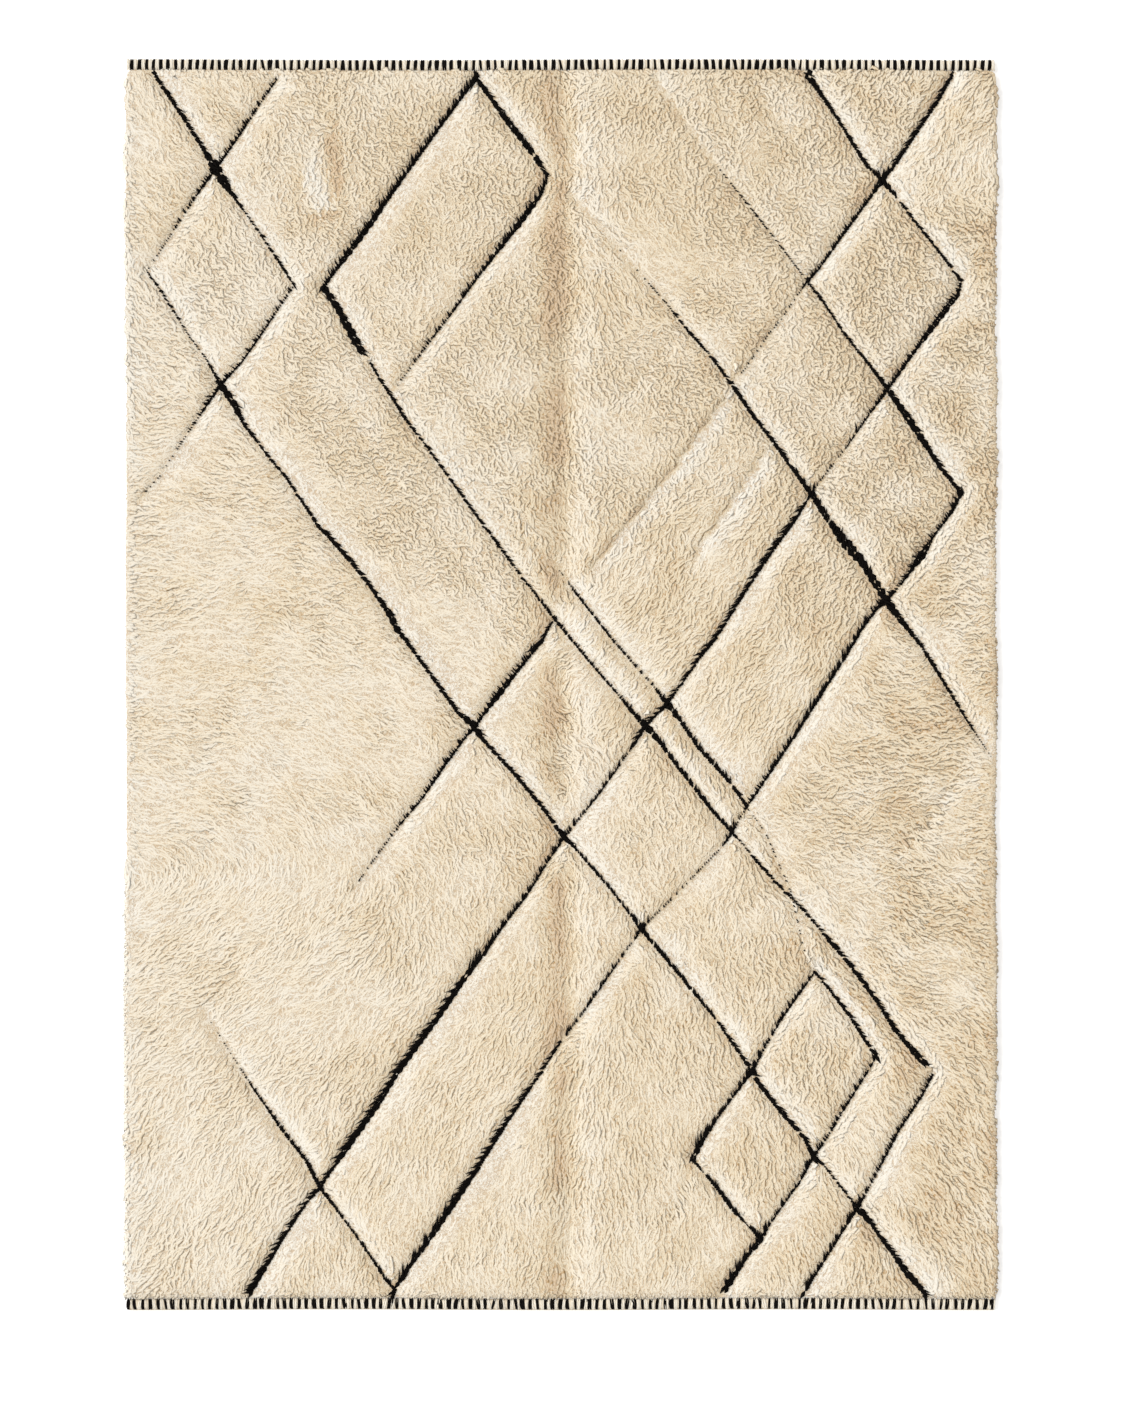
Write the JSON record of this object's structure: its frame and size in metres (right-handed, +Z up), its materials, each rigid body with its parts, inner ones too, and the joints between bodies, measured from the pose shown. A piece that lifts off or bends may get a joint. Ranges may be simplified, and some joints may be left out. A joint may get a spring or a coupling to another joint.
{
  "type": "beni ourain rug",
  "caption": "Flat-lying hand-knotted wool pile rug, cream with a black lozenge lattice, a soft lengthwise fold and an overcast cord binding along each end.",
  "frame": {"origin": "on the floor under the middle of the rug", "axes": "+X across the rug, +Y along it towards the end at the top of the picture, +Z up out of the pile"},
  "size_m": [1.6036, 2.2864, 0.0204],
  "materials": {
    "cream_wool": "matt, soft and fibrous: undyed sheep's wool in a deep pile",
    "black_wool": "matt, fibrous: dark wool, in the knots of the lattice and the overcast yarn",
    "binding_wool": "matt, twisted wool yarn wound round a cord"
  },
  "bodies": {
    "root": {"rug_pile": "cream_wool", "end_binding_top": "binding_wool", "end_binding_bottom": "binding_wool"}
  },
  "joints": []
}
